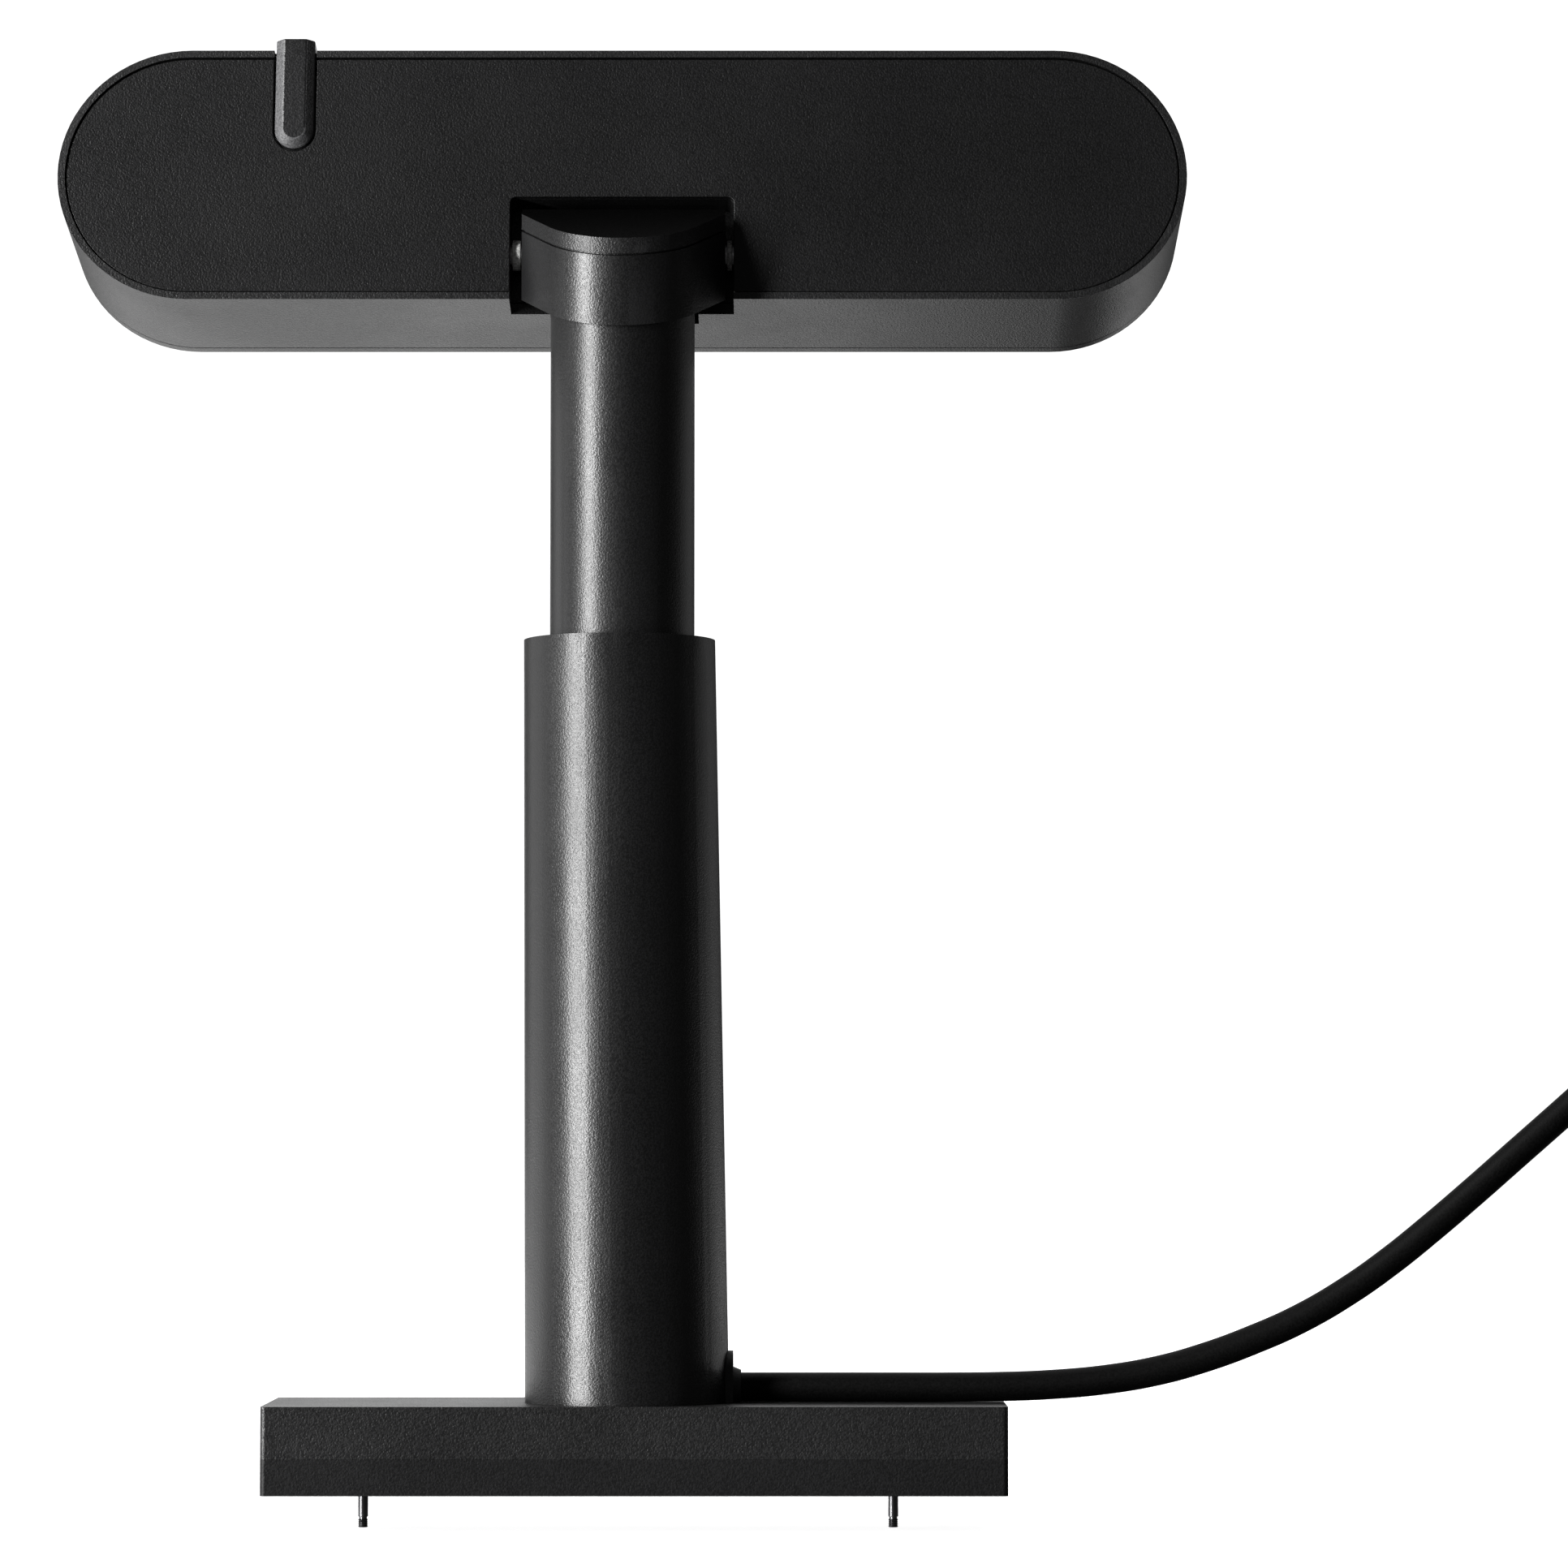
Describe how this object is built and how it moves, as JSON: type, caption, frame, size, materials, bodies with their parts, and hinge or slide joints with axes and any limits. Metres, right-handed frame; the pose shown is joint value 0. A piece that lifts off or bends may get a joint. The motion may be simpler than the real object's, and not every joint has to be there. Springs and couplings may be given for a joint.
{
  "type": "document camera",
  "caption": "Camera head shaped like a long pill, tilting on a telescopic round arm that stands on a screw-down base bar, with a press button and a fixed lead.",
  "frame": {"origin": "midway between the two mounting screws, on the base's mounting face", "axes": "+Z along the arm away from the mounting face, +X along the base bar towards the cord's side, +Y the side that the lens looks to"},
  "size_m": [0.3214, 0.0639, 0.2857],
  "materials": {
    "black_plastic": "fine-grained matte moulded plastic",
    "face_plastic": "fine-grained matte plate, a little darker than the housing",
    "button_plastic": "satin moulded plastic",
    "black_metal": "satin black powder coat with a fine grain",
    "black_rubber": "dull rubber",
    "cord_jacket": "satin soft PVC jacket",
    "slide_plastic": "plain engineering plastic",
    "steel": "bright turned steel",
    "black_steel": "blackened steel",
    "brass": "turned brass",
    "nylon": "plain light grey nylon",
    "aluminium": "plain extruded aluminium",
    "circuit_board": "solder-masked circuit board",
    "window_glass": "dark tinted glass",
    "lens_glass": "coated lens glass",
    "light_pipe": "clear milky light pipe"
  },
  "bodies": {
    "mount": {"wall_plate": "black_plastic", "base_cover": "black_plastic", "mounting_screws": "black_steel", "lock_screws": "black_steel", "terminal_board": "circuit_board", "outer_sleeve": "black_metal", "sleeve_foot": "black_plastic", "foot_screws": "steel", "top_bush": "slide_plastic", "friction_ring": "black_rubber", "cable_gland": "black_rubber", "cord_tail": "cord_jacket", "cord": "cord_jacket", "cord_plug": "cord_jacket", "plug_contact": "steel", "curly_lead": "cord_jacket"},
    "arm": {"inner_tube": "black_metal", "lower_guide": "slide_plastic", "guide_pins": "steel", "arm_lead": "cord_jacket", "knuckle_body": "black_metal", "knuckle_cap": "black_plastic", "knuckle_screws": "steel", "hinge_pin": "steel", "hinge_washers": "nylon", "hinge_nuts": "steel"},
    "head": {"head_housing": "black_plastic", "face_plate": "face_plastic", "hinge_pocket": "black_plastic", "hinge_brackets": "steel", "hinge_bushes": "brass", "friction_springs": "steel", "bracket_screws": "steel", "lens_cover": "black_plastic", "lens_window": "window_glass", "lens_hood": "slide_plastic", "lens_barrel": "black_metal", "lens_glass": "lens_glass", "sensor_board": "circuit_board", "main_board": "circuit_board", "board_screws": "steel", "heat_spreader": "aluminium", "radio_board": "circuit_board", "microphones": "circuit_board", "status_light": "light_pipe", "button_tray": "slide_plastic", "tact_switch": "slide_plastic", "button_spring": "steel"},
    "button": {"button_cap": "button_plastic"}
  },
  "joints": [
    {"name": "arm_slide", "type": "slide", "parent": "mount", "child": "arm", "axis": [0, 0, 1], "range_m": [-0.045, 0.045], "deforming": ["curly_lead"]},
    {"name": "head_tilt", "type": "hinge", "parent": "arm", "child": "head", "pos_m": [-0.0014, 0.009, 0.236], "axis": [1, 0, 0], "range_deg": [-35, 10]},
    {"name": "button_press", "type": "slide", "parent": "head", "child": "button", "axis": [0, 0.9816, -0.1908], "range_m": [0, 0.0008], "stiffness_N_per_m": 600, "deforming": ["button_spring"]}
  ]
}
